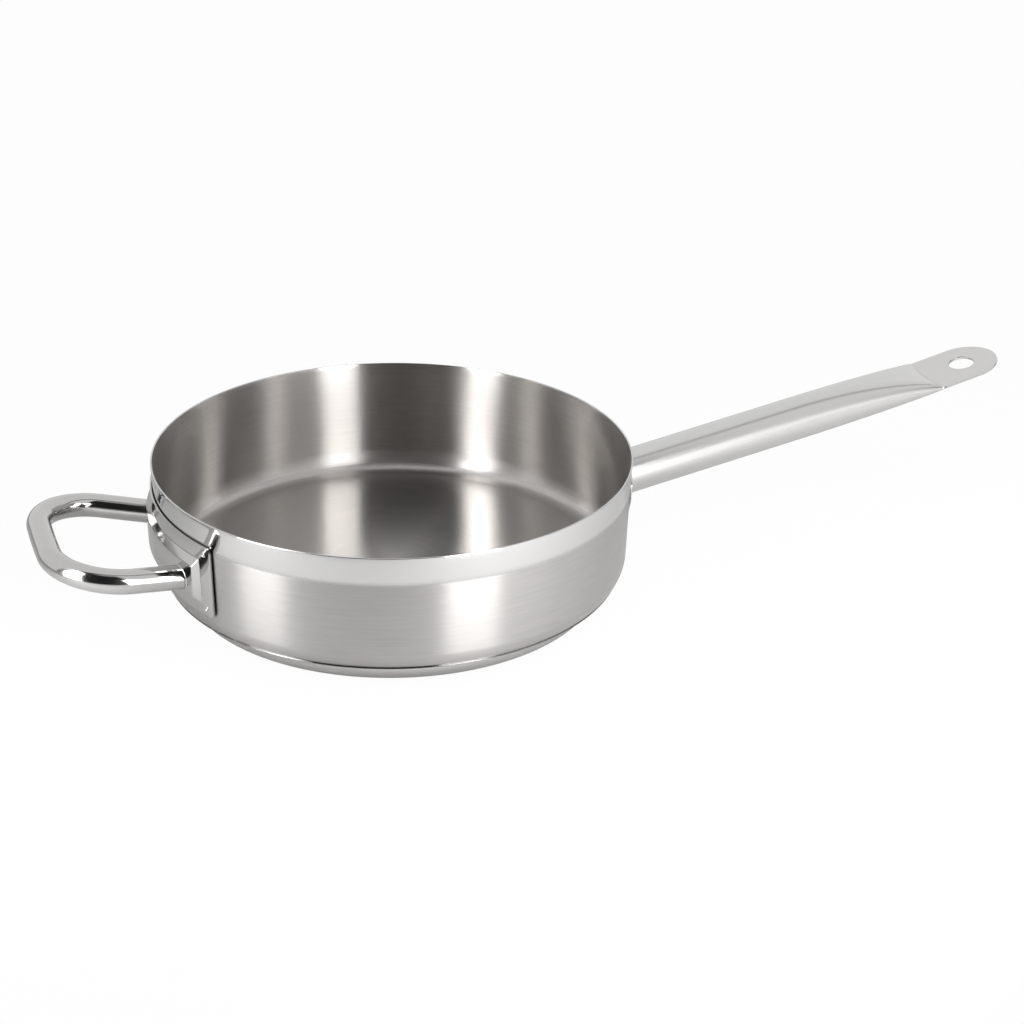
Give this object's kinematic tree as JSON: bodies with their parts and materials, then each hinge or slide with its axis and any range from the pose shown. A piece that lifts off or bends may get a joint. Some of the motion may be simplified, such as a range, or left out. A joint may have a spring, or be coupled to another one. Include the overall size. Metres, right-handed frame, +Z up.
{
  "type": "saute pan",
  "caption": "Straight-sided stainless saute pan on a capped sandwich base, with a bent-tube helper handle and a long tubular handle pressed flat into a tab with a hang hole.",
  "frame": {"origin": "middle of the flat underside of the base cap", "axes": "+Z up along the pan's axis, +X out along the long handle, the helper handle towards -X"},
  "size_m": [0.6151, 0.282, 0.0996],
  "materials": {
    "brushed_body": "stainless steel brushed round the wall and in rings on the floor, with a polished band below the lip",
    "base_core": "plain rolled aluminium, hidden inside the base",
    "base_cap_steel": "turned satin stainless steel",
    "polished_steel": "mirror-polished stainless steel",
    "satin_steel": "satin stainless steel brushed along its length",
    "weld_steel": "cleaned weld metal"
  },
  "bodies": {
    "root": {"pan_body": "brushed_body", "base_core_disc": "base_core", "base_cap": "base_cap_steel", "helper_bracket": "polished_steel", "helper_handle_tube": "polished_steel", "helper_weld_left": "weld_steel", "helper_weld_right": "weld_steel", "long_bracket": "polished_steel", "long_handle_tube": "satin_steel", "long_handle_weld": "weld_steel", "helper_spot_weld_1": "weld_steel", "helper_spot_weld_2": "weld_steel", "helper_spot_weld_3": "weld_steel", "helper_spot_weld_4": "weld_steel", "long_spot_weld_1": "weld_steel", "long_spot_weld_2": "weld_steel", "long_spot_weld_3": "weld_steel", "long_spot_weld_4": "weld_steel"}
  },
  "joints": []
}
